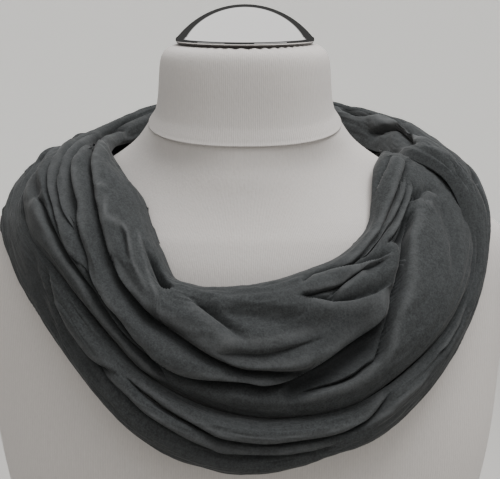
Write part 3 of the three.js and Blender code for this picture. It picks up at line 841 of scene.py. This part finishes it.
def ringSolid(name, rings, material):
    # a closed solid through rings of points, from the lowest to the top
    count, sides = rings.shape[:2]
    bm = bmesh.new()
    bmesh.ops.create_circle(bm, cap_ends=True, radius=1, segments=sides)
    edges = list(bm.edges)
    for k in range(1, count):
        grown = bmesh.ops.extrude_edge_only(bm, edges=edges)["geom"]
        bmesh.ops.translate(bm, verts=[v for v in grown if isinstance(v, bmesh.types.BMVert)], vec=(0, 0, 1))
        edges = [e for e in grown if isinstance(e, bmesh.types.BMEdge)]
    bmesh.ops.edgeloop_fill(bm, edges=edges)
    for vertex in bm.verts:
        side = round(math.atan2(vertex.co.y, vertex.co.x) / (2 * math.pi) * sides) % sides
        vertex.co = rings[round(vertex.co.z), side] * metres
    bmesh.ops.recalc_face_normals(bm, faces=bm.faces)
    mesh = bpy.data.meshes.new(name)
    bm.to_mesh(mesh)
    bm.free()
    mesh.shade_smooth()
    return linked(name, mesh, material)


def finely(rows):
    # a table of the bust with more rows between its own
    steps = cover["ringsPerRow"]
    at = np.array(rows, float)[:, 0]
    between = [np.linspace(a, b, steps, endpoint=False) for a, b in zip(at[:-1], at[1:])]
    levels = np.concatenate(between + [at[-1:]])
    return np.concatenate([levels[:, None], smoothRows(levels, rows)], axis=1)


def torsoPiece():
    return ringSolid("torsoCover", bodyRings(finely(bust["torso"])), torsoJersey)


def neckPiece():
    rows = finely(bust["neck"])
    hem = []
    for drop, out in cover["hem"]:
        row = rows[0].copy()
        row[0] -= drop * cover["hemDrop"]
        row[1:4] += out + cover["hemSpread"] * drop * cover["hemDrop"]
        hem.append(row)
    steps = cover["ringsPerRow"]
    rows[1:steps, 1:4] += cover["hemOut"] * (1 - np.arange(1, steps) / steps)[:, None]
    rings = bodyRings(np.concatenate([hem, rows[1:]]))
    # the cover puckers under the cap on one side
    turn = 2 * np.pi * np.arange(bust["sides"]) / bust["sides"]
    oneSide = np.clip(np.cos(turn + cover["puckerTurn"]), 0, 1)
    pucker = oneSide * np.sin(turn * cover["puckers"]) * cover["puckerDepth"]
    low, high = bust["neck"][-3][0], bust["neck"][-2][0]
    share = smoothStep(low, high, np.append(np.zeros(len(hem)), rows[1:, 0]))
    rings[:, :, 2] += share[:, None] * pucker
    return ringSolid("neckCover", rings, neckJersey)


# lip: reach and height of the profile from the foot's middle up to the dome
cap = {
    "base": 117.3, "tilt": 0.087, "rim": 1.7, "lipTop": 4.6, "domeFoot": 45.6, "top": 26.4,
    "sides": 192, "domeRings": 40,
    "lip": [
        (0, 0), (45.2, 0), (45.9, 0.85), (46.1, 1.7), (46.6, 1.95), (46.7, 2.8), (46.6, 3.9), (46.25, 4.4)],
}


def capPiece():
    rise = cap["top"] - cap["lipTop"]
    radius = (cap["domeFoot"] ** 2 + rise ** 2) / (2 * rise)
    foot = math.asin(cap["domeFoot"] / radius)
    profile = list(cap["lip"])
    for k in range(cap["domeRings"] + 1):
        slope = foot * (1 - k / cap["domeRings"])
        profile.append((radius * math.sin(slope), cap["top"] - radius * (1 - math.cos(slope))))
    bm = bmesh.new()
    line = [bm.verts.new((r * metres, 0, z * metres)) for r, z in profile]
    edges = [bm.edges.new(pair) for pair in zip(line[:-1], line[1:])]
    bmesh.ops.spin(bm, geom=line + edges, cent=(0, 0, 0), axis=(0, 0, 1), angle=2 * math.pi,
                   steps=cap["sides"], use_merge=True, use_duplicate=False)
    bmesh.ops.remove_doubles(bm, verts=bm.verts, dist=0.00001)
    bmesh.ops.recalc_face_normals(bm, faces=bm.faces)
    for face in bm.faces:
        # the faces of the lowest band get the painted shade finish
        face.material_index = 1 if face.calc_center_median().z < cap["rim"] * metres else 0
    height = (place["shoulderHeight"] + cap["base"]) * metres
    for vertex in bm.verts:
        vertex.co.z += height + cap["tilt"] * vertex.co.y
        vertex.co.y += place["forward"] * metres
    mesh = bpy.data.meshes.new("capDome")
    bm.to_mesh(mesh)
    bm.free()
    mesh.shade_smooth()
    piece = linked("capDome", mesh, chrome)
    piece.data.materials.append(paintedShadeRim)
    return piece


for make, node, slot in ((torsoPiece, "bust_torso", "jersey"), (neckPiece, "bust_neck", "jersey"),
                         (capPiece, "neck_cap", "cap")):
    piece = make()
    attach(piece, "root")
    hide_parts(node)
print("pieces made")


stage = {
    "half": 4, "wallHeight": 2.5, "wallGlow": 0.31, "floor": (0.5, 0.49, 0.47), "wall": (0.95, 0.945, 0.92)}


def stagePlane():
    # a floor with four walls; only the one behind the part is pale and glows
    bm = bmesh.new()
    bmesh.ops.create_grid(bm, x_segments=1, y_segments=1, size=stage["half"])
    raised = bmesh.ops.extrude_edge_only(bm, edges=list(bm.edges))
    lifted = [v for v in raised["geom"] if isinstance(v, bmesh.types.BMVert)]
    bmesh.ops.translate(bm, verts=lifted, vec=(0, 0, stage["wallHeight"]))
    mesh = bpy.data.meshes.new("backdrop")
    bm.to_mesh(mesh)
    bm.free()
    made = linked("backdrop", mesh, plainFinish("paleFloor", stage["floor"]))
    made.data.materials.append(plainFinish("paleWall", stage["wall"], stage["wallGlow"]))
    for face in mesh.polygons:
        face.material_index = 1 if face.center.y > 0.9 * stage["half"] else 0
    return made


backdrop = stagePlane()
backdrop.visible_glossy = False

light = {
    "sky": 1.15, "low": 0.06, "skyEdge": 0.53, "skyBlend": 0.02, "skyColour": (1, 0.995, 0.985),
    "aim": (0, 0, 0.4), "lampAt": (0.6, -0.2, 2.1), "lampPower": 42.0, "lampSize": (1.2, 1.2),
    # azimuth, distance, width and power of the two upright cards
    "cards": {"cardLeft": (-59, 2.2, 2.1, 1.4), "cardRight": (44, 2.2, 2.4, 3.2)},
    "cardHeight": 0.7, "cardMiddle": 0.55,
}


def areaLamp(name, power, size, at):
    data = bpy.data.lights.new(name, "AREA")
    data.shape = "RECTANGLE"
    data.size = size[0]
    data.size_y = size[1]
    data.energy = power
    lamp = bpy.data.objects.new(name, data)
    bpy.context.scene.collection.objects.link(lamp)
    lamp.location = at
    lamp.rotation_euler = (Vector(light["aim"]) - lamp.location).to_track_quat("-Z", "Y").to_euler()
    return lamp


def skyWorld():
    # a bright ceiling over a dim room
    world = bpy.data.worlds.new("studio")
    world.use_nodes = True
    tree = world.node_tree
    where = tree.nodes.new("ShaderNodeTexCoord")
    parts = tree.nodes.new("ShaderNodeSeparateXYZ")
    ramp = tree.nodes.new("ShaderNodeMapRange")
    tree.links.new(where.outputs["Generated"], parts.inputs[0])
    tree.links.new(parts.outputs["Z"], ramp.inputs["Value"])
    edge, blend = light["skyEdge"], light["skyBlend"]
    for key, value in (("From Min", edge - blend), ("From Max", edge + blend),
                       ("To Min", light["low"]), ("To Max", light["sky"])):
        ramp.inputs[key].default_value = value
    background = tree.nodes["Background"]
    background.inputs[0].default_value = (*light["skyColour"], 1)
    tree.links.new(ramp.outputs[0], background.inputs[1])
    bpy.context.scene.world = world


overhead = areaLamp("overhead", light["lampPower"], light["lampSize"], light["lampAt"])
overhead.visible_glossy = False
for name, (azimuth, distance, width, power) in light["cards"].items():
    turn = math.radians(azimuth)
    at = (distance * math.sin(turn), -distance * math.cos(turn), light["cardMiddle"])
    areaLamp(name, power, (width, light["cardHeight"]), at)
skyWorld()
print("stage and light set")
